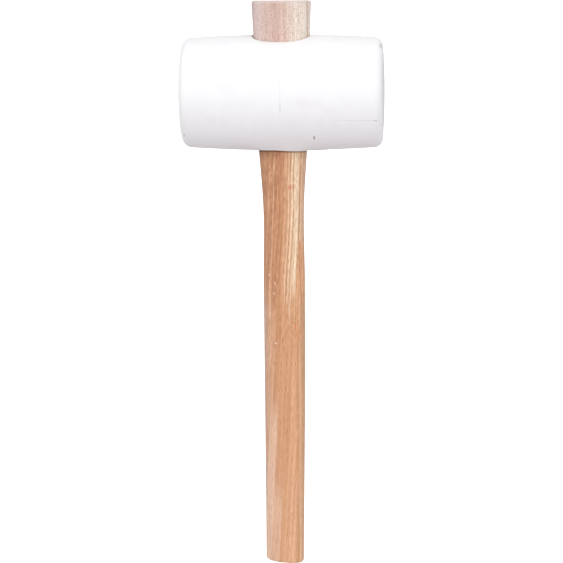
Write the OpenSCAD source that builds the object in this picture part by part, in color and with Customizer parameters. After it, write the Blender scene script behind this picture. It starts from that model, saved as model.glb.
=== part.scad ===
// Rubber mallet of the slip-through kind: a solid rubber head on a one-piece hardwood handle.
// The handle goes in from the top, and its flare jams in the head's tapered eye, so the head
// needs no wedge and no screw. Knocked upwards, the handle draws back out through the top.
//
// +Z runs up the handle and +X runs along the head. The origin is on the handle's axis, level
// with the lowest line of the head's underside. Lengths are in millimetres.

/* [Head] */
// Diameter of the head at the middle of its length
head_d = 90; // [86:0.5:96]
// Length of the head over the crowns of its two striking faces
head_l = 158; // [140:0.2:170]
// Radius of the bulge along the barrel's sides
barrel_r = 1110; // [800:10:2000]
// Height of the crown on each striking face
crown_h = 1.4; // [1:0.1:3]
// Radius of the rounded rim round each striking face
rim_r = 6.8; // [4:0.2:9]
// Gap between the eye's wall and the handle, on each side
eye_gap = 0.1; // [0.05:0.05:0.3]

/* [Handle] */
// Length of the handle, from its butt to its top end
handle_l = 443; // [430:1:480]
// Height of the head's axis above the butt
head_at = 372; // [365:1:378]
// Width of the butt, along the head
butt_w = 30; // [27:0.1:32]
// Width of the swell in front of the hand
swell_w = 32.7; // [30:0.1:34]
// Height of the swell above the butt
swell_at = 220; // [180:1:235]
// Width of the waist between the swell and the head
waist_w = 31.4; // [28:0.1:32]
// Height of the waist above the butt
waist_at = 270; // [260:1:280]
// Width of the flare where it enters the head
entry_w = 37.4; // [35:0.1:39]
// Width of the flare where it leaves the head
exit_w = 43.7; // [42:0.1:45]
// Width of the top end
top_w = 46.1; // [45:0.1:48]
// Depth of the grip as a share of its width
grip_ratio = 0.79; // [0.7:0.01:0.9]
// Depth of the flare as a share of its width
flare_ratio = 0.84; // [0.8:0.01:0.9]

/* [Handle ends and edges] */
// Squareness of the grip's section, where 2 is an ellipse
grip_square = 2.3; // [2:0.1:3]
// Squareness of the flare's section, where 2 is an ellipse
flare_square = 2.9; // [2.4:0.1:4]
// Slant of the saw cut across the butt, in degrees
butt_slant = 5; // [0:0.5:8]
// Radius of the softened edge round the butt
butt_edge = 2.5; // [1:0.1:4]
// Radius of the softened edge round the top end
top_edge = 2.2; // [0.5:0.1:3]

/* [Hidden] */

// Points round each section of the handle, and steps round each softened edge
SECTION_POINTS = 48;
EDGE_STEPS = 4;
// Spacing of the sections up the handle, which the eye's sections share
RING_STEP = 10;
// Facets of the head's turned surfaces
TURN_FN = 180;
PROFILE_FN = 720;
// Length over which the butt's slant dies away up the handle
SLANT_RUN = 30;

// Heights above the butt at which the handle enters and leaves the head
entry_at = head_at - head_d / 2;
exit_at = head_at + head_d / 2;

// Stations of the handle's outline: height above the butt, width, and widening per millimetre
STATIONS = [
    [0, butt_w, 0.013],
    [swell_at, swell_w, 0],
    [waist_at, waist_w, 0],
    [entry_at, entry_w, 0.15],
    [exit_at, exit_w, 0.075],
    [handle_l, top_w, 0.08],
];

// Smooth step from 0 at a to 1 at b
function ease(a, b, x) = let(t = min(max((x - a) / (b - a), 0), 1)) t * t * (3 - 2 * t);

// Cubic between two stations, with their widths and their slopes
function between(p, q, h) =
    let(span = q[0] - p[0], t = (h - p[0]) / span, t2 = t * t, t3 = t2 * t)
    p[1] * (2 * t3 - 3 * t2 + 1) + q[1] * (3 * t2 - 2 * t3)
    + span * (p[2] * (t3 - 2 * t2 + t) + q[2] * (t3 - t2));

// Number of the station at or below height h, leaving one station above it
function station_below(h, i = len(STATIONS) - 2) =
    (i == 0 || h >= STATIONS[i][0]) ? i : station_below(h, i - 1);

// Width, depth and squareness of the handle at height h above the butt
function width_at(h) = let(i = station_below(h)) between(STATIONS[i], STATIONS[i + 1], h);
function flare_share(h) = ease(swell_at, entry_at, h);
function depth_at(h) =
    width_at(h) * (grip_ratio + (flare_ratio - grip_ratio) * flare_share(h));
function square_at(h) = grip_square + (flare_square - grip_square) * flare_share(h);

// A power of a cosine or a sine that keeps its sign
function signed_power(x, p) = sign(x) * pow(abs(x), p);

// One section of the handle as a ring of points. Its outline lies in by inset, and it is
// drawn at height z above the butt, tilted by slope along X.
function ring(h, inset, z, slope = 0) =
    let(a = width_at(h) / 2 - inset, b = depth_at(h) / 2 - inset, p = 2 / square_at(h))
    [
        for (i = [0 : SECTION_POINTS - 1])
            let(angle = 360 * i / SECTION_POINTS)
            let(x = a * signed_power(cos(angle), p), y = b * signed_power(sin(angle), p))
            [x, y, z - slope * x - entry_at]
    ];

// Slope of the butt's cut, which dies away up the handle
function slope_at(z) = tan(butt_slant) * (1 - ease(0, SLANT_RUN, z));

// Solid through a list of rings, closed at both ends
module loft(rings) {
    n = SECTION_POINTS;
    last = len(rings) - 1;
    polyhedron(
        points = [for (r = rings) each r],
        faces = concat(
            [[for (i = [0 : n - 1]) i]],
            [
                for (k = [0 : last - 1], i = [0 : n - 1])
                    [k * n + i, (k + 1) * n + i, (k + 1) * n + (i + 1) % n, k * n + (i + 1) % n]
            ],
            [[for (i = [n - 1 : -1 : 0]) last * n + i]]
        )
    );
}

// Rings of a softened edge of radius r at the butt, and at the top end
function butt_rings(r) = [
    for (k = [0 : EDGE_STEPS])
        let(t = 90 * k / EDGE_STEPS, z = r * (1 - cos(t)))
        ring(z, r * (1 - sin(t)), z, slope_at(z))
];
function top_rings(r) = [
    for (k = [0 : EDGE_STEPS])
        let(t = 90 * k / EDGE_STEPS, z = handle_l - r * (1 - sin(t)))
        ring(z, r * (1 - cos(t)), z)
];

// Half of the head's outline: radius along X, and distance along the head's axis along Y.
// The barrel arc, the crown arc and the rim arc that touches both are parts of circles.
crown_r = (pow(head_d / 2 - rim_r, 2) + crown_h * crown_h) / (2 * crown_h);
crown_y = head_l / 2 - crown_r;
barrel_x = head_d / 2 - barrel_r;

// Centre of the rim arc: a fixed distance inside both the barrel arc and the crown arc
rim_from_barrel = barrel_r - rim_r;
rim_from_crown = crown_r - rim_r;
arc_gap = norm([barrel_x, crown_y]);
along_gap = (pow(rim_from_barrel, 2) - pow(rim_from_crown, 2) + arc_gap * arc_gap) / (2 * arc_gap);
off_gap = sqrt(pow(rim_from_barrel, 2) - along_gap * along_gap);
gap_dir = [-barrel_x, crown_y] / arc_gap;
rim_centre = [barrel_x, 0] + along_gap * gap_dir + off_gap * [-gap_dir[1], gap_dir[0]];

// Where the rim arc touches the barrel arc and the crown arc, and a point out past the corner
function past(from, distance) =
    rim_centre + distance * (rim_centre - from) / norm(rim_centre - from);
CORNER = [
    rim_centre,
    past([barrel_x, 0], 2 * rim_r),
    rim_centre + 3 * rim_r * [1, 1],
    past([0, crown_y], 2 * rim_r),
];

module head_outline() {
    difference() {
        intersection() {
            translate([0, -head_l]) square([head_d, 2 * head_l]);
            translate([barrel_x, 0]) circle(r = barrel_r, $fn = PROFILE_FN);
            translate([0, crown_y]) circle(r = crown_r, $fn = PROFILE_FN);
            translate([0, -crown_y]) circle(r = crown_r, $fn = PROFILE_FN);
        }
        for (side = [0, 1]) mirror([0, side])
            difference() {
                polygon(CORNER);
                translate(rim_centre) circle(r = rim_r, $fn = 96);
            }
    }
}

// Solid rubber head: a barrel along X, with the tapered eye through it from top to bottom
module head() {
    below = RING_STEP * floor((entry_at - 1) / RING_STEP);
    above = RING_STEP * ceil((exit_at + 1) / RING_STEP);
    color([0.94, 0.94, 0.95])
        difference() {
            translate([0, 0, head_d / 2]) rotate([0, 90, 0])
                rotate_extrude($fn = TURN_FN) head_outline();
            loft([for (h = [below : RING_STEP : above]) ring(h, -eye_gap, h)]);
        }
}

// Hardwood handle: grip, swell, waist and flare in one piece
module handle() {
    color([0.85, 0.66, 0.49])
        loft(concat(
            butt_rings(butt_edge),
            [
                for (h = [RING_STEP : RING_STEP : handle_l - 2 * top_edge])
                    ring(h, 0, h, slope_at(h))
            ],
            top_rings(top_edge)
        ));
}

head();
handle();
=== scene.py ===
"""Rubber mallet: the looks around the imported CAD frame. Everything is in metres, in the CAD frame."""

import math

import bmesh
import bpy
from mathutils import Matrix, Vector, noise


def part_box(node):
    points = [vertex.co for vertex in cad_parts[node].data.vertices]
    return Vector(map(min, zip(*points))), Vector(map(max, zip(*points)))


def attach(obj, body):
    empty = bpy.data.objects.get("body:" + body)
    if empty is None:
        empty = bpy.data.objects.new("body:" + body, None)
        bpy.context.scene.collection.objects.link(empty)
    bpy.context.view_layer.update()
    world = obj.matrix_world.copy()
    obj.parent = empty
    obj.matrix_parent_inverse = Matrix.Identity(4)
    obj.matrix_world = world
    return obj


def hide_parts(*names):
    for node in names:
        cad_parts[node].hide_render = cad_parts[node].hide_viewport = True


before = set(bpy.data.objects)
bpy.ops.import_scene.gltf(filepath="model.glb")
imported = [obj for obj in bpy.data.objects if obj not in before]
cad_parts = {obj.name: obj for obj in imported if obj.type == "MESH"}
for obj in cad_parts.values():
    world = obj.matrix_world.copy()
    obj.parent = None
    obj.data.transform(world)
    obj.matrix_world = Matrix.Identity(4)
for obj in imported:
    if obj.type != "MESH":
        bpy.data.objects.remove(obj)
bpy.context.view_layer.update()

MM = 0.001

# ---- Driving sizes, from the frame's own boxes and the design of the two pieces -------------

head_low, head_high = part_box("head")
handle_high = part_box("handle")[1]

HEAD_R = (head_high.y - head_low.y) / 2        # radius of the head at its middle
HEAD_HALF = head_high.x                        # half the head's length, over the crowns
BARREL_R = 1110 * MM                           # radius of the bulge along the barrel's sides
RIM_R = 6.8 * MM                               # rounded rim round each striking face
CROWN = 1.4 * MM                               # height of each face's crown
ENTRY_Z = 0.0                                  # the handle enters the head at the origin's level
EXIT_Z = 2 * HEAD_R                            # and leaves it here
TOP_Z = handle_high.z
HANDLE_L = 443 * MM                            # length of the handle, along its axis
BUTT_Z = TOP_Z - HANDLE_L                      # the butt's height on the handle's axis

BUTT_SLANT = math.radians(5)                   # slant of the saw cut across the butt
SLANT_RUN = 30 * MM                            # the slant dies away over this length
BUTT_EDGE = 2.5 * MM                           # softened edge round the butt
TOP_EDGE = 2.2 * MM                            # softened edge round the top end
SWELL_Z = BUTT_Z + 220 * MM                    # the swell in front of the hand
WAIST_Z = BUTT_Z + 270 * MM                    # the waist between the swell and the head

# Handle's outline: height, width along the head, and widening per unit of height
STATIONS = [
    (BUTT_Z, 30.0 * MM, 0.013),
    (SWELL_Z, 32.7 * MM, 0.0),
    (WAIST_Z, 31.4 * MM, 0.0),
    (ENTRY_Z, 37.4 * MM, 0.15),
    (EXIT_Z, 43.7 * MM, 0.075),
    (TOP_Z, 46.1 * MM, 0.08),
]
GRIP_RATIO = 0.79                              # depth of the section as a share of its width
FLARE_RATIO = 0.84
GRIP_SQUARE = 2.3                              # squareness of the section, where 2 is an ellipse
FLARE_SQUARE = 2.9
LEFT_SQUARE = 1.6                              # how much squarer the flare's left corners are
EYE_GAP = 0.12 * MM                            # between the eye's wall and the handle

# The wood isn't dead straight: how far its axis bows sideways at the top and at mid-grip
BOW_TOP = -0.75 * MM
BOW_GRIP = 0.53 * MM

SANDING = 0.006                                # share of its width that the sanding takes off
SANDING_ACROSS = 9 * MM                        # size of its waves, across the handle and along it
SANDING_ALONG = 38 * MM


# ---- Small helpers ---------------------------------------------------------------------------

def ease(a, b, x):
    """Smooth step from 0 at a to 1 at b."""
    t = min(max((x - a) / (b - a), 0.0), 1.0)
    return t * t * (3 - 2 * t)


def mix(a, b, t):
    """The value a share t of the way from a to b."""
    return a + (b - a) * t


def make_mesh(name, verts, faces):
    """A smooth-shaded object from plain lists, with its faces turned outwards."""
    mesh = bpy.data.meshes.new(name)
    mesh.from_pydata([tuple(v) for v in verts], [], faces)
    grid = bmesh.new()
    grid.from_mesh(mesh)
    bmesh.ops.recalc_face_normals(grid, faces=grid.faces)
    grid.to_mesh(mesh)
    grid.free()
    mesh.polygons.foreach_set("use_smooth", [True] * len(mesh.polygons))
    mesh.update()
    obj = bpy.data.objects.new(name, mesh)
    bpy.context.scene.collection.objects.link(obj)
    return obj


# ---- The handle's section, shared by the handle and the head's eye -----------------------------

def width_at(z):
    """Width of the handle at height z: a cubic between two stations, with their slopes."""
    low, high = STATIONS[0], STATIONS[1]
    for k in range(1, len(STATIONS) - 1):
        if z >= STATIONS[k][0]:
            low, high = STATIONS[k], STATIONS[k + 1]
    span = high[0] - low[0]
    t = (z - low[0]) / span
    return (low[1] * (2 * t**3 - 3 * t**2 + 1) + high[1] * (3 * t**2 - 2 * t**3)
            + span * (low[2] * (t**3 - 2 * t**2 + t) + high[2] * (t**3 - t**2)))


def section_reach(z, angle, grow=0.0):
    """Distance from the handle's axis to its surface at height z, in the direction angle."""
    share = ease(SWELL_Z, ENTRY_Z, z)
    half_w = width_at(z) / 2
    half_d = half_w * mix(GRIP_RATIO, FLARE_RATIO, share) + grow
    half_w += grow
    n = mix(GRIP_SQUARE, FLARE_SQUARE + LEFT_SQUARE * max(-math.cos(angle), 0.0), share)
    c, s = abs(math.cos(angle)) / half_w, abs(math.sin(angle)) / half_d
    return (c**n + s**n) ** (-1 / n)


def bow(z):
    """Sideways offset of the handle's axis at height z."""
    grip = math.sin(math.pi * min(max((z - BUTT_Z) / (ENTRY_Z - BUTT_Z), 0.0), 1.0))
    return BOW_TOP * ease(ENTRY_Z, TOP_Z, z) + BOW_GRIP * grip


# ---- Handle --------------------------------------------------------------------------------

def build_handle():
    """The handle as one loft: butt cap, softened edge, shank, softened edge, top cap."""
    around = 128                                # points round each section
    edge_steps = 7
    cap_rings = 9                               # rings on each end, inside the softened edge
    step = 2 * MM                               # spacing of the sections along the shank
    rings = []                                  # height of each section, and how far it lies in
    for k in range(edge_steps + 1):
        t = math.pi / 2 * k / edge_steps
        z = BUTT_EDGE * (1 - math.cos(t))
        rings.append((BUTT_Z + z, BUTT_EDGE * (1 - math.sin(t))))
    shank = round((TOP_Z - TOP_EDGE - BUTT_Z - BUTT_EDGE) / step)
    for k in range(1, shank):
        rings.append((mix(BUTT_Z + BUTT_EDGE, TOP_Z - TOP_EDGE, k / shank), 0.0))
    for k in range(edge_steps + 1):
        t = math.pi / 2 * k / edge_steps
        rings.append((TOP_Z - TOP_EDGE * (1 - math.sin(t)), TOP_EDGE * (1 - math.cos(t))))

    def point(z, inset, angle, scale=1.0):
        reach = (section_reach(z, angle) - inset) * scale
        x, y = reach * math.cos(angle), reach * math.sin(angle)
        # the sanded surface waves in by up to a tenth of a millimetre, never out
        if scale == 1.0:
            there = Vector((x / SANDING_ACROSS, y / SANDING_ACROSS, z / SANDING_ALONG))
            keep = 1 - SANDING * (0.5 + 0.5 * noise.noise(there))
            x, y = x * keep, y * keep
        tilt = math.tan(BUTT_SLANT) * (1 - ease(0, SLANT_RUN, z - BUTT_Z))
        return (x + bow(z), y, z - tilt * x)

    angles = [2 * math.pi * k / around for k in range(around)]
    verts, faces = [], []
    start_z, end_z = rings[0][0], rings[-1][0]
    verts.append(point(start_z, 0, 0, 0))
    for k in range(1, cap_rings):
        verts += [point(start_z, BUTT_EDGE, a, k / cap_rings) for a in angles]
    for z, inset in rings:
        verts += [point(z, inset, a) for a in angles]
    for k in range(cap_rings - 1, 0, -1):
        verts += [point(end_z, TOP_EDGE, a, k / cap_rings) for a in angles]
    verts.append(point(end_z, 0, 0, 0))

    rows = len(rings) + 2 * (cap_rings - 1)
    last = len(verts) - 1
    for i in range(around):
        j = (i + 1) % around
        faces.append((0, 1 + j, 1 + i))
        faces.append((last, last - around + i, last - around + j))
        for k in range(rows - 1):
            a, b = 1 + k * around, 1 + (k + 1) * around
            faces.append((a + i, a + j, b + j, b + i))
    return make_mesh("handle_wood", verts, faces)


# ---- Head ----------------------------------------------------------------------------------

LIP_R = 0.5 * MM                               # rounding of the eye's two mouths
TOP_DIP = 1.6 * MM                             # how far the rubber dips round the top mouth
TOP_GAP = 0.4 * MM                             # gap left at the two ends of the top mouth
BOTTOM_LIP_LEFT = 0.7 * MM                     # height of the bottom mouth's lip, left and right
BOTTOM_LIP_RIGHT = 0.05 * MM
BEAD = 0.7 * MM                                # height of the thin bead round the bottom mouth
BEAD_TOP = 0.9 * MM                            # the bead falls away between these distances
BEAD_END = 1.7 * MM
SLACK = 0.4 * MM                               # the underside's small sag at the handle's right
RIDGE = 0.09 * MM                              # height of the mould's parting ridge
RIDGE_W = 0.55 * MM
WAVE = 0.07 * MM                               # depth of the moulded surface's unevenness
WINDOW_X = 36 * MM                             # half size of the patch round each mouth, along X
WINDOW_COLUMNS = 15                            # columns in that half
WINDOW_TURN = math.radians(50)                 # half size of the patch round the barrel


def barrel_radius(x):
    """Radius of the barrel at x, without the rims."""
    return HEAD_R - BARREL_R + math.sqrt(BARREL_R**2 - x * x)


def head_profile():
    """Half the head's outline, from its middle to near the centre of a face: x and radius."""
    crown_r = ((HEAD_R - RIM_R) ** 2 + CROWN**2) / (2 * CROWN)
    crown_x = HEAD_HALF - crown_r
    barrel_c = HEAD_R - BARREL_R
    # centre of the rim arc, which touches the barrel arc and the crown arc from inside
    a, b = BARREL_R - RIM_R, crown_r - RIM_R
    gap = math.hypot(barrel_c, crown_x)
    along = (a * a - b * b + gap * gap) / (2 * gap)
    off = math.sqrt(a * a - along * along)
    ux, ur = crown_x / gap, -barrel_c / gap
    rim_x, rim_r = along * ux + off * ur, barrel_c + along * ur - off * ux
    t_barrel = math.atan2(rim_x, rim_r - barrel_c)
    t_crown = math.atan2(rim_x - crown_x, rim_r)

    # the barrel, with closer columns at the parting ridge and then even ones
    points = [(x * MM, barrel_radius(x * MM)) for x in (0, 0.4, 0.9, 1.6)]
    spacing = WINDOW_X / WINDOW_COLUMNS
    k = 1
    while WINDOW_X * k / WINDOW_COLUMNS < BARREL_R * math.sin(t_barrel) - 0.5 * spacing:
        x = WINDOW_X * k / WINDOW_COLUMNS
        points.append((x, barrel_radius(x)))
        k += 1
    rim_steps = 12
    for k in range(rim_steps + 1):
        t = mix(t_barrel, t_crown, k / rim_steps)
        points.append((rim_x + RIM_R * math.sin(t), rim_r + RIM_R * math.cos(t)))
    # the crown, as far as the narrow ring round its centre
    edge = rim_r + RIM_R * math.cos(t_crown)
    crown_steps = 15
    for k in range(1, crown_steps - 1):
        r = edge * (1 - k / crown_steps)
        points.append((crown_x + math.sqrt(crown_r**2 - r * r), r))
    return points


def mould_line(x, turn):
    """Height of the mould's fine parting ridge at x and at an angle from the top."""
    side = abs(math.sin(turn))
    fade = ease(math.sin(math.radians(52)), math.sin(math.radians(72)), side)
    broken = 0.65 + 0.35 * noise.noise(Vector((turn * 9, 0.3, 0)))
    return RIDGE * fade * broken * math.exp(-((x / RIDGE_W) ** 2))


def rubber_wave(x, y, z):
    """Slight unevenness of the moulded surface, always inwards."""
    there = Vector((x, y, z))
    n = noise.noise(there / (17 * MM)) + 0.5 * noise.noise(there / (6 * MM))
    return -WAVE * (0.75 + 0.5 * n)


def eye_reach(z, angle, top_z):
    """Distance from the axis to the eye's wall, which stands off the wood at the top's two ends."""
    ends = abs(math.cos(angle)) ** 1.5
    open_gap = TOP_GAP * ends * math.exp(-max(top_z - z, 0.0) / (5 * MM))
    return section_reach(z, angle, EYE_GAP) + open_gap


def lip_shift(x, y, top):
    """How far the rubber near a mouth has been drawn along Z by driving the handle in from the top.

    Round the top mouth it dips, most at the front and back. Round the bottom mouth it swells down
    to about the level of the barrel's lowest line, a little further at the right, and ends in a bead.
    It never comes below that line, so it stays inside the frame.
    """
    angle = math.atan2(y, x)
    reach = section_reach(EXIT_Z if top else ENTRY_Z, angle)
    away = max(math.hypot(x, y) - reach, 0.0)
    if top:
        dip = mix(TOP_DIP, 0.1 * TOP_DIP, math.cos(angle) ** 2)
        return -dip * math.exp(-((away / (3.5 * MM)) ** 2))
    wall_x, wall_y = reach * math.cos(angle), reach * math.sin(angle)
    natural = HEAD_R - math.sqrt(barrel_radius(wall_x) ** 2 - wall_y**2)
    level = mix(BOTTOM_LIP_LEFT, BOTTOM_LIP_RIGHT, ease(-8 * MM, 8 * MM, x))
    swell = max(natural - level - BEAD, 0.0) * math.exp(-((away / (7 * MM)) ** 2))
    bead = min(BEAD, natural) * (1 - ease(BEAD_TOP, BEAD_END, away))
    slack = SLACK * math.exp(-(((x - 24 * MM) / (14 * MM)) ** 2) - (y / (22 * MM)) ** 2)
    here = HEAD_R - math.sqrt(barrel_radius(x) ** 2 - y * y)
    return -min(swell + bead + slack, max(here - 0.02 * MM, 0.0))


def build_head():
    """A grid wound round X, with a patch round each mouth of the eye, and the eye's wall."""
    half = head_profile()
    columns = [(-x, r) for x, r in reversed(half[1:])] + half
    rows = 180
    turns = [2 * math.pi * j / rows for j in range(rows)]
    centre = HEAD_R
    verts, faces = [], []
    grid = {}                                   # the vertex at each column and row

    def on_barrel(x, turn, radius=None):
        r = barrel_radius(x) if radius is None else radius
        r += rubber_wave(x, r * math.sin(turn), r * math.cos(turn)) + mould_line(x, turn)
        return Vector((x, -r * math.sin(turn), centre + r * math.cos(turn)))

    def add(v):
        verts.append(v)
        return len(verts) - 1

    # columns and rows that a window leaves out
    inner_cols = [i for i, column in enumerate(columns) if abs(column[0]) < WINDOW_X - 0.1 * MM]
    first_col, last_col = inner_cols[0] - 1, inner_cols[-1] + 1
    reach = round(WINDOW_TURN / (2 * math.pi / rows))

    def row_offset(j, mouth):
        """Signed number of rows from a mouth's middle row: the top's is 0, the bottom's is rows/2."""
        d = (j - (0 if mouth == "top" else rows // 2)) % rows
        return d if d <= rows // 2 else d - rows

    def inside(i, j):
        if not first_col < i < last_col:
            return False
        return any(abs(row_offset(j, m)) < reach for m in ("top", "bottom"))

    for i, (x, r) in enumerate(columns):
        for j, turn in enumerate(turns):
            if not inside(i, j):
                grid[i, j] = add(on_barrel(x, turn, r))
    # a point at each face's centre closes the narrow ring round it
    pole_x = HEAD_HALF - 0.05 * MM
    left_pole = add(Vector((-pole_x, 0, centre)))
    right_pole = add(Vector((pole_x, 0, centre)))

    right = len(columns) - 1
    for i in range(right):
        for j in range(rows):
            corners = [(i, j), (i + 1, j), (i + 1, (j + 1) % rows), (i, (j + 1) % rows)]
            if all(c in grid for c in corners):
                faces.append(tuple(grid[c] for c in reversed(corners)))
    for j in range(rows):
        k = (j + 1) % rows
        faces.append((left_pole, grid[0, k], grid[0, j]))
        faces.append((right_pole, grid[right, j], grid[right, k]))

    def loop(mouth):
        """The columns and rows round a window, in the same order seen from above for both mouths."""
        middle = 0 if mouth == "top" else rows // 2
        flip = 1 if mouth == "top" else -1

        def row(d):
            return (middle + flip * d) % rows

        cells = [(i, row(-reach)) for i in range(first_col, last_col)]
        cells += [(last_col, row(d)) for d in range(-reach, reach)]
        cells += [(i, row(reach)) for i in range(last_col, first_col, -1)]
        cells += [(first_col, row(d)) for d in range(reach, -reach, -1)]
        return cells

    def turn_of(x, y, mouth):
        """Angle round the barrel, from the top, of the point above or below x and y."""
        t = math.asin(max(-1, min(1, -y / barrel_radius(x))))
        return t if mouth == "top" else math.pi - t

    blend_rings = 14                            # between a window's edge and its mouth
    lip_steps = 8
    wall_rings = 24
    mouths = {}
    for mouth in ("top", "bottom"):
        cells = loop(mouth)
        up = 1 if mouth == "top" else -1
        rings = [[grid[c] for c in cells]]
        paths = []
        for i, j in cells:
            x0 = columns[i][0]
            y0 = -barrel_radius(x0) * math.sin(turns[j])
            angle = math.atan2(y0, x0)
            z = EXIT_Z if mouth == "top" else ENTRY_Z
            for _ in range(3):                   # where the eye's wall meets the barrel
                reach_here = eye_reach(z, angle, z if mouth == "top" else EXIT_Z)
                x, y = reach_here * math.cos(angle), reach_here * math.sin(angle)
                z = centre + up * math.sqrt(barrel_radius(x) ** 2 - y * y)
            paths.append((x0, y0, angle, reach_here))

        def surface_z(x, y):
            return on_barrel(x, turn_of(x, y, mouth)).z + lip_shift(x, y, mouth == "top")

        def ring_of(place):
            """One ring round the mouth. place gives each point's x, its y and its drop into the eye."""
            ring = []
            for path in paths:
                x, y, drop = place(*path)
                ring.append(add(Vector((x, y, surface_z(x, y) - up * drop))))
            return ring

        for k in range(1, blend_rings):
            s = k / blend_rings
            s *= 1.6 - 0.6 * s                   # closer rings near the mouth

            def between(x0, y0, angle, wall, s=s):
                x1, y1 = (wall + LIP_R) * math.cos(angle), (wall + LIP_R) * math.sin(angle)
                x = mix(x0, x1, s)
                turn = mix(turn_of(x0, y0, mouth), turn_of(x1, y1, mouth), s)
                return x, -barrel_radius(x) * math.sin(turn), 0.0

            rings.append(ring_of(between))
        for k in range(lip_steps + 1):
            t = math.pi / 2 * k / lip_steps

            def rounded(x0, y0, angle, wall, t=t):
                away = wall + LIP_R * (1 - math.sin(t))
                return away * math.cos(angle), away * math.sin(angle), LIP_R * (1 - math.cos(t))

            rings.append(ring_of(rounded))
        for a, b in zip(rings, rings[1:]):
            n = len(a)
            for k in range(n):
                quad = (a[k], a[(k + 1) % n], b[(k + 1) % n], b[k])
                faces.append(quad if mouth == "top" else quad[::-1])
        mouths[mouth] = (rings[-1], paths)

    # the eye's wall, from the top mouth's last ring to the bottom mouth's
    top_ring, top_paths = mouths["top"]
    bottom_ring, _ = mouths["bottom"]
    previous = top_ring
    n = len(top_ring)
    for k in range(1, wall_rings + 1):
        if k == wall_rings:
            ring = bottom_ring
        else:
            ring = []
            for a, b, (_, _, angle, _) in zip(top_ring, bottom_ring, top_paths):
                z = mix(verts[a].z, verts[b].z, k / wall_rings)
                wall = eye_reach(z, angle, verts[a].z)
                ring.append(add(Vector((wall * math.cos(angle), wall * math.sin(angle), z))))
        for i in range(n):
            faces.append((previous[i], previous[(i + 1) % n], ring[(i + 1) % n], ring[i]))
        previous = ring

    # near the eye the rubber follows the handle's bow
    for v in verts:
        near = 1 - ease(2 * MM, 20 * MM, math.hypot(v.x, v.y) - 18 * MM)
        v.x += bow(v.z) * near
    return make_mesh("head_rubber", verts, faces)


# ---- Materials -------------------------------------------------------------------------------

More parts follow.
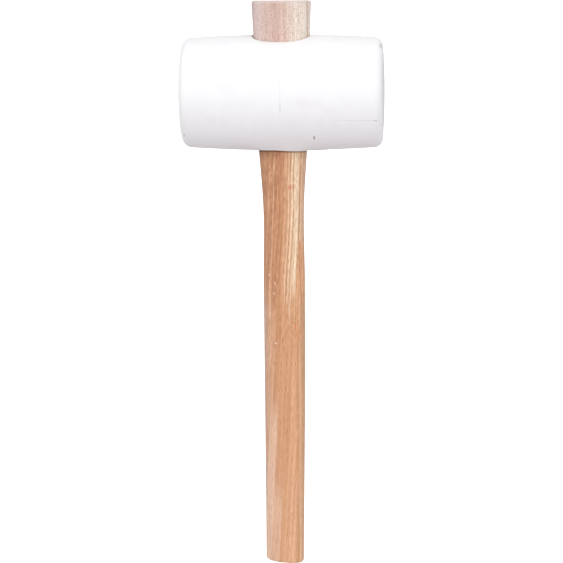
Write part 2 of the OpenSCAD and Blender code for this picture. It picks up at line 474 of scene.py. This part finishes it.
class Nodes:
    """Short names for the shader nodes that the materials use.

    Grain sizes, bands, lines, marks and bump distances are given in millimetres, all else in metres.
    """

    def __init__(self, name):
        self.material = bpy.data.materials.new(name)
        self.material.use_nodes = True
        self.tree = self.material.node_tree
        self.shader = self.tree.nodes["Principled BSDF"]
        where = self.node("TexCoord")
        self.place = where.outputs["Object"]
        self.facing = where.outputs["Normal"]
        self.fibre = self.place                 # where the grain is measured from

    def node(self, kind, **settings):
        made = self.tree.nodes.new("ShaderNode" + kind)
        for key, value in settings.items():
            setattr(made, key, value)
        return made

    def feed(self, socket, value):
        """Link an output to a socket, or set the socket to a plain value."""
        if isinstance(value, bpy.types.NodeSocket):
            self.tree.links.new(value, socket)
        elif isinstance(value, tuple) and len(value) == 3 and socket.type == "RGBA":
            socket.default_value = (*value, 1)
        else:
            socket.default_value = value

    def math(self, operation, *values):
        made = self.node("Math", operation=operation)
        for socket, value in zip(made.inputs, values):
            self.feed(socket, value)
        return made.outputs[0]

    def times(self, a, b):
        return self.math("MULTIPLY", a, b)

    def plus(self, a, b):
        return self.math("ADD", a, b)

    def minus(self, a, b):
        return self.math("SUBTRACT", a, b)

    def length(self, a, b):
        return self.math("SQRT", self.plus(self.times(a, a), self.times(b, b)))

    def grain(self, x, y, z):
        """The object's coordinates, divided by a grain size along each axis."""
        made = self.node("Mapping")
        self.feed(made.inputs["Vector"], self.fibre)
        made.inputs["Scale"].default_value = (1 / (x * MM), 1 / (y * MM), 1 / (z * MM))
        return made.outputs[0]

    def split(self, vector):
        made = self.node("SeparateXYZ")
        self.feed(made.inputs[0], vector)
        return made.outputs[0], made.outputs[1], made.outputs[2]

    def join(self, x, y, z):
        made = self.node("CombineXYZ")
        for socket, value in zip(made.inputs, (x, y, z)):
            self.feed(socket, value)
        return made.outputs[0]

    def noise(self, where, detail, roughness=0.5):
        made = self.node("TexNoise")
        self.feed(made.inputs["Vector"], where)
        made.inputs["Scale"].default_value = 1.0
        made.inputs["Detail"].default_value = detail
        made.inputs["Roughness"].default_value = roughness
        return made.outputs["Fac"]

    def cells(self, where):
        """Distance from scattered points: 0 at a point, growing outwards."""
        made = self.node("TexVoronoi")
        self.feed(made.inputs["Vector"], where)
        made.inputs["Scale"].default_value = 1.0
        return made.outputs["Distance"]

    def span(self, value, low, high, to_low=0.0, to_high=1.0):
        """value, from low to high, brought smoothly to another range and held at its ends."""
        made = self.node("MapRange", interpolation_type="SMOOTHSTEP")
        for key, v in (("Value", value), ("From Min", low), ("From Max", high),
                       ("To Min", to_low), ("To Max", to_high)):
            self.feed(made.inputs[key], v)
        return made.outputs[0]

    def ramp(self, value, *stops):
        made = self.node("ValToRGB")
        self.feed(made.inputs[0], value)
        elements = made.color_ramp.elements
        while len(elements) < len(stops):
            elements.new(0.5)
        for element, (at, colour) in zip(elements, stops):
            element.position = at
            element.color = (*colour, 1)
        return made.outputs[0]

    def blend(self, factor, a, b, mode="MIX"):
        made = self.node("Mix", data_type="RGBA", blend_type=mode)
        self.feed(made.inputs[0], factor)
        self.feed(made.inputs[6], a)
        self.feed(made.inputs[7], b)
        return made.outputs[2]

    def tint(self, colour, value, dark, light):
        """Multiply a colour by a tint, from dark where value is 0.3 to light where it is 0.7."""
        return self.blend(1.0, colour, self.ramp(value, (0.3, dark), (0.7, light)), "MULTIPLY")

    def multiply_by(self, factor, colour, shade):
        """Multiply a colour by one shade, as far as factor says."""
        return self.blend(factor, colour, self.tint(colour, 1.0, (1, 1, 1), shade))

    def bands(self, u, *stops):
        """Colour bands across the grain. Each stop is a place from the axis, and a colour."""
        share = self.math("MULTIPLY_ADD", u, 0.5 / BANDS_HALF, 0.5)
        return self.ramp(share, *[(0.5 + 0.5 * at * MM / BANDS_HALF, shade) for at, shade in stops])

    def line(self, u, at, half, soft):
        """1 on a line along the grain at u = at, fading to 0 beyond its half width."""
        away = self.math("ABSOLUTE", self.minus(u, at * MM))
        return self.span(away, half * MM, (half + soft) * MM, 1.0, 0.0)

    def lines(self, colour, u, share, *rows):
        """Draw lines along the grain. Each row is a place, a half width, a strength and a colour."""
        for at, half, strength, shade in rows:
            mask = self.times(self.line(u, at, half, 0.5), self.times(share, strength))
            colour = self.blend(mask, colour, shade)
        return colour

    def spot(self, x, z, rx, rz, soft):
        """1 inside a small oval mark on the front, fading to 0 round it."""
        px, py, pz = self.split(self.place)
        dx = self.times(self.minus(px, x * MM), 1 / (rx * MM))
        dz = self.times(self.minus(pz, z * MM), 1 / (rz * MM))
        mark = self.span(self.length(dx, dz), 1.0 - 0.5 * soft, 1.0 + 0.5 * soft, 1.0, 0.0)
        return self.times(self.math("LESS_THAN", py, 0.0), mark)

    def marks(self, colour, share, *rows):
        """Draw oval marks. Each row is a place and size for spot, a strength and a colour."""
        for place, strength, shade in rows:
            mask = self.times(self.spot(*place), self.times(share, strength))
            colour = self.blend(mask, colour, shade)
        return colour

    def bump(self, height, distance, strength):
        made = self.node("Bump")
        made.inputs["Strength"].default_value = strength
        made.inputs["Distance"].default_value = distance * MM
        self.feed(made.inputs["Height"], height)
        return made.outputs[0]


def srgb(r, g, b):
    """A colour given as 0 to 255 in sRGB, as the linear values that Blender uses."""
    def one(v):
        v /= 255
        return v / 12.92 if v <= 0.04045 else ((v + 0.055) / 1.055) ** 2.4
    return one(r), one(g), one(b)


def white_rubber():
    """Matte white rubber, with a faint mottle, painted shade on the striking faces and the eye's wall,
    and a few marks of use.
    """
    m = Nodes("white_rubber")
    x, y, z = m.split(m.place)
    mottle = m.noise(m.grain(11, 11, 11), 4, roughness=0.6)
    colour = m.ramp(mottle, (0.3, srgb(244, 244, 246)), (0.7, srgb(247, 247, 248)))
    # handling has greyed some patches; both striking faces are painted grey, a painted shade where they
    # turn from the light
    smudge = m.span(m.noise(m.grain(24, 24, 15), 3), 0.56, 0.74)
    colour = m.blend(m.times(smudge, 0.2), colour, srgb(238, 235, 238))
    painted_face_shade = m.span(m.math("ABSOLUTE", x), 77.2 * MM, 78.8 * MM)
    colour = m.blend(painted_face_shade, colour, srgb(229, 227, 230))
    # a fine scratch along the right half of the front, clearest towards its right end
    scratch_z = m.math("MULTIPLY_ADD", x, -0.012, 25.8 * MM)
    off_line = m.math("ABSOLUTE", m.minus(z, scratch_z))
    start = m.span(x, 20 * MM, 66 * MM, 0.0, 0.22)
    end = m.span(x, 73 * MM, 75 * MM, 1.0, 0.0)
    scratch = m.times(m.span(off_line, 0.1 * MM, 0.6 * MM, 1.0, 0.0), m.times(start, end))
    scratch = m.times(scratch, m.math("LESS_THAN", y, 0.0))
    colour = m.blend(scratch, colour, srgb(196, 192, 197))
    # marks on the front: a nick, the scratch's end, scuffs by the rims, and painted shade just right of
    # the mould's parting ridge
    colour = m.marks(
        colour, m.span(y, -12 * MM, -18 * MM),
        ((25.7, 11.6, 0.5, 1.5, 0.7), 0.95, srgb(118, 112, 120)),
        ((72.8, 24.9, 1.4, 0.45, 1.0), 0.60, srgb(180, 176, 182)),
        ((76.2, 82.0, 0.7, 2.6, 1.0), 0.80, srgb(186, 184, 189)),
        ((0.6, 35.5, 0.6, 4.2, 1.2), 0.55, srgb(219, 217, 221)),
        ((0.5, 52.0, 0.5, 15.0, 1.2), 0.40, srgb(234, 233, 236)),
        ((19.5, 38.5, 9.0, 3.0, 1.6), 0.30, srgb(236, 230, 234)),
        ((-74.3, 13.5, 0.6, 1.2, 1.0), 0.40, srgb(176, 172, 177)),
    )
    # painted shade darkens the eye's wall, where the surface faces the handle's axis
    nx, ny, _ = m.split(m.facing)
    outward = m.plus(m.times(nx, x), m.times(ny, y))
    colour = m.blend(m.span(outward, -4 * MM, -12 * MM), colour, srgb(138, 122, 114))

    m.feed(m.shader.inputs["Base Color"], colour)
    m.feed(m.shader.inputs["Roughness"], m.span(mottle, 0.25, 0.75, 0.55, 0.68))
    m.shader.inputs["Specular IOR Level"].default_value = 0.35
    fine = m.noise(m.grain(0.7, 0.7, 0.7), 3)
    m.feed(m.shader.inputs["Normal"], m.bump(fine, 0.03, 0.6))
    return m.material


# The wood's figure. Colours and places follow the front, and run straight through to the back.
LINE_LEAN = 0.048                              # the growth lines lean left by this, going down
BAND_LEAN = 0.030                              # and the broad bands beside them by this
SWAY = 2.4 * MM                                # how far the grain sways from side to side
BANDS_HALF = 26 * MM                           # the bands reach this far to each side
BLOCK_LOW = 30 * MM                            # the block's colours begin inside the eye
BLOCK_HIGH = 70 * MM
UPPER_END = -100 * MM                          # the grip's upper colours give way to the lower ones
LOWER_START = -128 * MM
TONGUE_END = -69 * MM                          # the tan tongue's end
TONGUE_START = -71.5 * MM


def block_colour(m, x):
    """The block above the head: pink, greyed at the left and creamy at the right."""
    colour = m.bands(
        x,
        (-22, srgb(211, 190, 188)), (-17, srgb(219, 199, 193)), (-10, srgb(213, 185, 174)),
        (-4, srgb(211, 180, 168)), (2, srgb(218, 190, 177)), (5, srgb(222, 200, 187)),
        (11, srgb(231, 215, 204)), (19, srgb(239, 227, 216)), (20.2, srgb(236, 219, 206)),
        (22, srgb(238, 225, 217)),
    )
    return m.lines(
        colour, x, 1.0,
        (0.4, 0.3, 0.5, srgb(238, 212, 198)), (11.2, 0.4, 0.6, srgb(248, 236, 226)),
        (3.0, 0.2, 0.4, srgb(206, 174, 160)), (19.7, 0.2, 0.7, srgb(192, 164, 146)),
    )


def upper_colour(m, u, v):
    """The grip's upper part: brown at the left, and a pale band with growth lines at the right."""
    x, y, z = m.split(m.place)
    colour = m.bands(
        v,
        (-15, srgb(196, 147, 115)), (-10, srgb(201, 150, 115)), (-6, srgb(200, 147, 111)),
        (-3, srgb(200, 144, 107)), (0.5, srgb(206, 152, 114)), (2.5, srgb(214, 160, 123)),
        (5, srgb(224, 175, 138)), (8, srgb(233, 189, 153)), (10.4, srgb(246, 217, 186)),
        (13, srgb(246, 217, 186)), (14.2, srgb(229, 193, 160)), (16.0, srgb(213, 175, 145)),
    )
    pale, cream = srgb(233, 184, 149), srgb(250, 220, 187)
    dark, brown = srgb(186, 128, 94), srgb(190, 146, 108)
    colour = m.lines(
        colour, u, m.span(m.noise(m.grain(1.4, 1.4, 7), 2), 0.38, 0.56, 0.45, 1.0),
        (-11.6, 0.1, 0.30, dark), (-8.6, 0.2, 0.35, pale), (-7.2, 0.1, 0.30, dark),
        (-5.1, 0.2, 0.75, pale), (-3.0, 0.3, 0.50, dark), (-0.6, 0.4, 0.35, dark),
        (2.2, 0.1, 0.35, dark), (4.2, 0.2, 0.50, pale), (5.4, 0.1, 0.45, brown),
        (6.5, 0.2, 0.65, cream), (7.6, 0.15, 0.75, brown), (8.9, 0.25, 0.85, cream),
        (10.2, 0.15, 0.85, brown), (12.6, 0.1, 0.30, brown),
    )
    # beyond the pale band, a tan tongue comes up below a brown line and a pale one, to a blunt end
    # at the front, and to a ragged one round the side
    ragged = m.minus(m.noise(m.grain(1.8, 1.8, 22), 2), 0.5)
    ragged = m.times(ragged, m.span(y, -7 * MM, -2 * MM, 0.0, 220 * MM))
    tongue = m.span(m.plus(z, ragged), TONGUE_END, TONGUE_START)
    colour = m.lines(
        colour, u, m.minus(1.0, tongue),
        (15.2, 0.4, 0.80, brown), (16.1, 0.3, 0.60, cream),
    )
    tongue = m.times(tongue, m.span(u, 14.5 * MM, 15.3 * MM))
    colour = m.blend(tongue, colour, srgb(219, 165, 125))
    return m.blend(m.times(m.line(x, 14.6, 0.3, 0.6), 0.6), colour, pale)


def lower_colour(m, u):
    """The grip's lower part: an even gold, greyed at the left edge, with broad pale bands."""
    x, _, z = m.split(m.place)
    # the grey at the left edge, at -15 mm, is a painted sheen
    colour = m.bands(
        x,
        (-15, srgb(209, 178, 162)), (-12.6, srgb(213, 170, 142)), (-9, srgb(215, 165, 131)),
        (-4, srgb(213, 158, 120)), (3, srgb(217, 162, 122)), (8.5, srgb(224, 169, 128)),
        (11.6, srgb(215, 161, 121)), (12.9, srgb(234, 188, 148)), (14.4, srgb(216, 168, 132)),
    )
    # place, half width, softness, the heights where it starts and is full, strength, and colour
    for at, half, soft, start, full, strength, shade in (
        (3.4, 1.0, 1.6, -125, -145, 0.45, srgb(204, 147, 109)),
        (0.4, 0.3, 0.5, -150, -175, 0.75, srgb(236, 190, 156)),
        (2.2, 2.1, 2.2, -185, -222, 0.85, srgb(234, 195, 168)),
        (8.8, 1.6, 2.2, -252, -285, 0.70, srgb(233, 191, 162)),
        (16.1, 0.4, 0.8, -140, -170, 0.40, srgb(236, 184, 145)),
        (19.8, 0.5, 0.9, -200, -240, 0.50, srgb(238, 186, 148)),
        (23.0, 0.4, 0.8, -240, -290, 0.50, srgb(238, 186, 148)),
        (-2.7, 0.4, 0.7, -130, -160, 0.35, srgb(230, 182, 148)),
    ):
        below = m.span(z, start * MM, full * MM, 0.0, strength)
        colour = m.blend(m.times(m.line(u, at, half, soft), below), colour, shade)
    # handling has bleached the end of the grip a little
    return m.multiply_by(m.span(z, -205 * MM, -300 * MM), colour, (1.03, 1.06, 1.10))


def front_marks(m, colour):
    """Marks on the front of the wood: two stains, pale specks and a rough patch of torn grain."""
    colour = m.marks(
        colour, 1.0,
        ((5.6, -27.9, 1.7, 1.6, 1.4), 0.70, srgb(216, 134, 106)),
        ((8.6, -27.2, 1.9, 1.3, 1.6), 0.45, srgb(222, 150, 122)),
        ((8.0, -24.4, 2.4, 0.35, 1.4), 0.60, srgb(252, 228, 200)),
        ((9.3, -137.0, 1.2, 2.2, 1.4), 0.50, srgb(226, 136, 88)),
        ((12.0, -143.0, 1.3, 4.6, 1.4), 0.35, srgb(224, 146, 102)),
        ((-10.4, -96.8, 0.5, 0.9, 1.0), 0.75, srgb(248, 222, 204)),
        ((-6.1, -103.2, 0.5, 1.5, 1.0), 0.65, srgb(246, 214, 194)),
        ((-6.8, -111.0, 0.45, 0.8, 1.0), 0.70, srgb(250, 230, 214)),
        ((-5.6, -150.4, 0.8, 0.7, 1.0), 0.70, srgb(250, 228, 210)),
        ((-10.6, -126.0, 0.5, 6.0, 1.0), 0.50, srgb(240, 208, 188)),
        ((4.9, -124.0, 0.5, 9.0, 1.0), 0.50, srgb(244, 216, 190)),
    )
    patch = m.spot(6.4, -134.0, 2.8, 8.5, 0.9)
    for grain, strength, shade in (
        ((0.9, 0.9, 1.7), 0.85, srgb(246, 222, 198)),
        ((1.1, 1.1, 2.3), 0.60, srgb(170, 116, 82)),
    ):
        flecks = m.span(m.cells(m.grain(*grain)), 0.16, 0.34, strength, 0.0)
        colour = m.blend(m.times(flecks, patch), colour, shade)
    return colour


def painted_shade_under_head(m, colour):
    """Painted shade on the wood where the handle enters the head, with a painted shadow line close
    under the mouth's lip.
    """
    x, _, z = m.split(m.place)
    outside = m.span(z, 3 * MM, 14 * MM, 1.0, 0.0)
    lip = m.span(x, -8 * MM, 8 * MM, BOTTOM_LIP_LEFT, BOTTOM_LIP_RIGHT)
    below = m.minus(lip, z)
    wide = m.times(m.span(below, 9 * MM, 0.5 * MM), m.span(x, -12 * MM, 8 * MM, 1.0, 0.4))
    close = m.span(below, 1.6 * MM, 0.4 * MM)
    colour = m.multiply_by(m.times(wide, outside), colour, (0.62, 0.57, 0.52))
    return m.multiply_by(m.times(close, outside), colour, (0.48, 0.42, 0.38))


def end_grain(m, colour):
    """Growth rings on both saw cuts, with the butt's edge worn pale."""
    x, y, z = m.split(m.place)
    _, _, nz = m.split(m.facing)
    from_pith = m.length(m.plus(x, 75 * MM), m.plus(y, 12 * MM))
    wave = m.math("SINE", m.times(from_pith, 2 * math.pi / (2.6 * MM)))
    rings = m.ramp(
        m.math("MULTIPLY_ADD", wave, 0.5, 0.5),
        (0.2, srgb(196, 148, 114)), (0.9, srgb(226, 188, 158)),
    )
    rings = m.tint(rings, m.noise(m.grain(0.6, 0.6, 0.6), 3), (0.86, 0.84, 0.82), (1.08, 1.08, 1.08))
    # the top cut's rings are painted over pale grey, a painted highlight from the light above
    rings = m.blend(m.span(z, 0.0, 90 * MM, 0.0, 0.8), rings, srgb(226, 214, 213))
    colour = m.blend(m.span(m.math("ABSOLUTE", nz), 0.75, 0.95), colour, rings)
    patches = m.span(m.noise(m.grain(5, 5, 5), 2), 0.45, 0.6)
    worn = m.times(m.span(nz, -0.25, -0.7), patches)
    return m.blend(m.times(worn, 0.7), colour, srgb(243, 222, 200))


def hardwood():
    """Pale straight-grained hardwood: bands along the grain, fine streaks, pores and flecks."""
    m = Nodes("hardwood")
    x, y, z = m.split(m.place)
    # the grain leans to the left on its way down the grip, and sways a little
    sway = m.minus(m.noise(m.grain(40, 40, 60), 0), 0.5)
    down = m.math("MINIMUM", z, 0.0)
    u = m.math("MULTIPLY_ADD", down, -LINE_LEAN, x)
    u = m.math("MULTIPLY_ADD", sway, SWAY, u)
    v = m.math("MULTIPLY_ADD", down, LINE_LEAN - BAND_LEAN, u)
    m.fibre = m.join(u, y, z)

    # the grip's two parts meet in a ragged edge, and the block takes over inside the eye
    edge = m.noise(m.grain(1.6, 1.6, 30), 3)
    fall = m.math("MULTIPLY_ADD", m.minus(edge, 0.5), 60 * MM, z)
    colour = m.blend(m.span(fall, UPPER_END, LOWER_START), upper_colour(m, u, v), lower_colour(m, u))
    in_block = m.span(z, BLOCK_LOW, BLOCK_HIGH)
    colour = m.blend(in_block, colour, block_colour(m, x))

    # streaks, from broad to fine, calmer towards the butt and in the block
    calm = m.times(
        m.span(z, -100 * MM, -200 * MM, 1.0, 0.6), m.span(z, BLOCK_LOW, BLOCK_HIGH, 1.0, 0.5))
    for where, detail, low, high in (
        (m.grain(3.2, 3.2, 170), 1, (0.93, 0.91, 0.89), (1.05, 1.06, 1.07)),
        (m.grain(0.9, 0.9, 130), 1, (0.84, 0.79, 0.74), (1.13, 1.16, 1.19)),
        (m.grain(0.5, 0.5, 5.0), 2, (0.79, 0.74, 0.69), (1.17, 1.21, 1.25)),
    ):
        colour = m.blend(calm, colour, m.tint(colour, m.noise(where, detail), low, high))
    # the block has a short mottle, and a few round pores at its right
    mottle = m.noise(m.grain(0.6, 0.6, 1.0), 2)
    short = m.tint(colour, mottle, (0.83, 0.80, 0.78), (1.13, 1.14, 1.15))
    colour = m.blend(in_block, colour, short)
    dots = m.span(m.cells(m.grain(2.2, 2.2, 3.2)), 0.14, 0.3, 0.4, 0.0)
    dots = m.times(dots, m.times(in_block, m.span(x, -3 * MM, 5 * MM)))
    colour = m.blend(dots, colour, srgb(150, 120, 102))
    # long pores all over, and darker flecks
    pores = m.span(m.cells(m.grain(1.1, 1.1, 9)), 0.08, 0.24, 0.45, 0.0)
    colour = m.multiply_by(pores, colour, (0.68, 0.58, 0.50))
    flecks = m.span(m.cells(m.grain(2.4, 2.4, 15)), 0.05, 0.15, 0.7, 0.0)
    colour = m.multiply_by(flecks, colour, (0.58, 0.46, 0.38))

    # painted shade and a painted shadow line where the handle enters the head
    colour = painted_shade_under_head(m, front_marks(m, colour))
    # the arris of the top end is painted pale grey, a painted highlight along its rounding
    arris = m.span(z, TOP_Z - 3.4 * MM, TOP_Z - 1.2 * MM, 0.0, 0.6)
    colour = m.blend(arris, colour, srgb(212, 200, 198))
    colour = end_grain(m, colour)

    m.feed(m.shader.inputs["Base Color"], colour)
    fine = m.noise(m.grain(0.6, 0.6, 12), 3)
    m.feed(m.shader.inputs["Roughness"], m.span(fine, 0.3, 0.7, 0.5, 0.68))
    m.shader.inputs["Specular IOR Level"].default_value = 0.4
    m.feed(m.shader.inputs["Normal"], m.bump(m.minus(fine, m.times(pores, 0.6)), 0.06, 0.8))
    return m.material


def pale_floor():
    """Plain white, bright enough to read as white from every side."""
    m = Nodes("pale_floor")
    m.shader.inputs["Base Color"].default_value = (0.9, 0.9, 0.9, 1)
    m.shader.inputs["Roughness"].default_value = 1.0
    m.shader.inputs["Emission Color"].default_value = (1, 1, 1, 1)
    m.shader.inputs["Emission Strength"].default_value = 1.0
    return m.material


# ---- Stage: floor, light and camera ------------------------------------------------------------

FLOOR_Z = -3.0
FLOOR_R = 7.0                                  # radius of the flat part
BEND_R = 3.0                                   # radius of the sweep up into the wall
WALL_TOP = 9.0

KEY_AZIMUTH = 38                               # the two key lights stand this far to each side
KEY_POWER = 21.8
TOP_POWER = 14.0
LIGHT_DISTANCE = 3.0
WORLD_STRENGTH = 0.645

CAMERA_AZIMUTH = math.radians(3.85)            # from the photo's outline, fitted with perspective
CAMERA_ELEVATION = math.radians(7.26)
CAMERA_ROLL = math.radians(0.294)
CAMERA_DISTANCE = 1.70
CAMERA_LENS = 138.4
TARGET_Z = BUTT_Z + 223.9 * MM                 # the middle of the view
TARGET_LEFT = 1.86 * MM                        # and how far it lies to the left of the axis


def build_floor():
    """A wide pale floor that sweeps up all round into a wall, well clear of the mallet."""
    bend_steps = 16
    outline = [(FLOOR_R, FLOOR_Z)]
    for k in range(1, bend_steps + 1):
        t = math.pi / 2 * k / bend_steps
        outline.append((FLOOR_R + BEND_R * math.sin(t), FLOOR_Z + BEND_R * (1 - math.cos(t))))
    outline.append((FLOOR_R + BEND_R, WALL_TOP))
    around = 96
    turns = [2 * math.pi * k / around for k in range(around)]
    verts, faces = [(0, 0, FLOOR_Z)], []
    for r, z in outline:
        verts += [(r * math.cos(turn), r * math.sin(turn), z) for turn in turns]
    for i in range(around):
        j = (i + 1) % around
        faces.append((0, 1 + i, 1 + j))
        for k in range(len(outline) - 1):
            a, b = 1 + k * around, 1 + (k + 1) * around
            faces.append((a + i, b + i, b + j, a + j))
    mesh = bpy.data.meshes.new("floor")
    mesh.from_pydata(verts, [], faces)
    mesh.polygons.foreach_set("use_smooth", [True] * len(mesh.polygons))
    floor = bpy.data.objects.new("floor", mesh)
    bpy.context.scene.collection.objects.link(floor)
    floor.data.materials.append(pale_floor())
    # the floor is only a backdrop, so it neither lights the mallet nor shades it
    floor.visible_diffuse = False
    floor.visible_glossy = False
    floor.visible_shadow = False


def build_world():
    """Even light from all round, with a slight lilac cast from below."""
    world = bpy.data.worlds.new("studio")
    world.use_nodes = True
    bpy.context.scene.world = world
    nodes, links = world.node_tree.nodes, world.node_tree.links
    way = nodes.new("ShaderNodeTexCoord")
    height = nodes.new("ShaderNodeSeparateXYZ")
    scaled = nodes.new("ShaderNodeMath")
    shades = nodes.new("ShaderNodeValToRGB")
    background = nodes["Background"]
    scaled.operation = "MULTIPLY_ADD"
    scaled.inputs[1].default_value = 0.5
    scaled.inputs[2].default_value = 0.5
    low, high = shades.color_ramp.elements
    low.position = 0.18
    low.color = (1.01, 0.955, 0.995, 1)
    high.position = 0.48
    high.color = (1.0, 1.0, 1.0, 1)
    background.inputs["Strength"].default_value = WORLD_STRENGTH
    links.new(way.outputs["Generated"], height.inputs[0])
    links.new(height.outputs[2], scaled.inputs[0])
    links.new(scaled.outputs[0], shades.inputs[0])
    links.new(shades.outputs[0], background.inputs["Color"])


def toward(azimuth, elevation):
    """Direction from the object to a point round it, with azimuth 0 at its front."""
    return Vector((math.sin(azimuth) * math.cos(elevation),
                   -math.cos(azimuth) * math.cos(elevation), math.sin(elevation)))


def soft_light(name, azimuth, elevation, size, power):
    """A round soft light, aimed at the middle of the mallet. Its two angles are in degrees."""
    data = bpy.data.lights.new(name, "AREA")
    data.shape = "DISK"
    data.size = size
    data.energy = power
    light = bpy.data.objects.new(name, data)
    bpy.context.scene.collection.objects.link(light)
    away = toward(math.radians(azimuth), math.radians(elevation))
    light.location = Vector((0, 0, -0.1)) + away * LIGHT_DISTANCE
    light.rotation_euler = away.to_track_quat("Z", "Y").to_euler()
    light.visible_camera = False


def build_lights():
    """Two keys at the front, one to each side, and one light high above."""
    soft_light("key_left", -KEY_AZIMUTH, 17.5, 1.6, KEY_POWER)
    soft_light("key_right", KEY_AZIMUTH, 17.5, 1.6, KEY_POWER)
    soft_light("top", 0, 70, 2.0, TOP_POWER)


def build_camera():
    """The photograph's view: slightly from the right and from above, tilted by a third of a degree."""
    back = toward(CAMERA_AZIMUTH, CAMERA_ELEVATION)
    right = Vector((math.cos(CAMERA_AZIMUTH), math.sin(CAMERA_AZIMUTH), 0))
    target = Vector((0, 0, TARGET_Z)) - right * TARGET_LEFT
    camera = bpy.data.objects.new("camera", bpy.data.cameras.new("camera"))
    bpy.context.scene.collection.objects.link(camera)
    camera.data.lens = CAMERA_LENS
    camera.data.sensor_width = 36.0
    camera.data.clip_end = 200
    turn = back.to_track_quat("Z", "Y").to_matrix().to_4x4() @ Matrix.Rotation(-CAMERA_ROLL, 4, "Z")
    camera.matrix_world = Matrix.Translation(target + back * CAMERA_DISTANCE) @ turn
    bpy.context.scene.camera = camera


# ---- Assembly ----------------------------------------------------------------------------------

build_camera()
build_world()
build_lights()
build_floor()
bpy.context.scene.view_settings.view_transform = "Standard"

head = build_head()
head.data.materials.append(white_rubber())
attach(head, "head")
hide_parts("head")

handle = build_handle()
handle.data.materials.append(hardwood())
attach(handle, "handle")
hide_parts("handle")
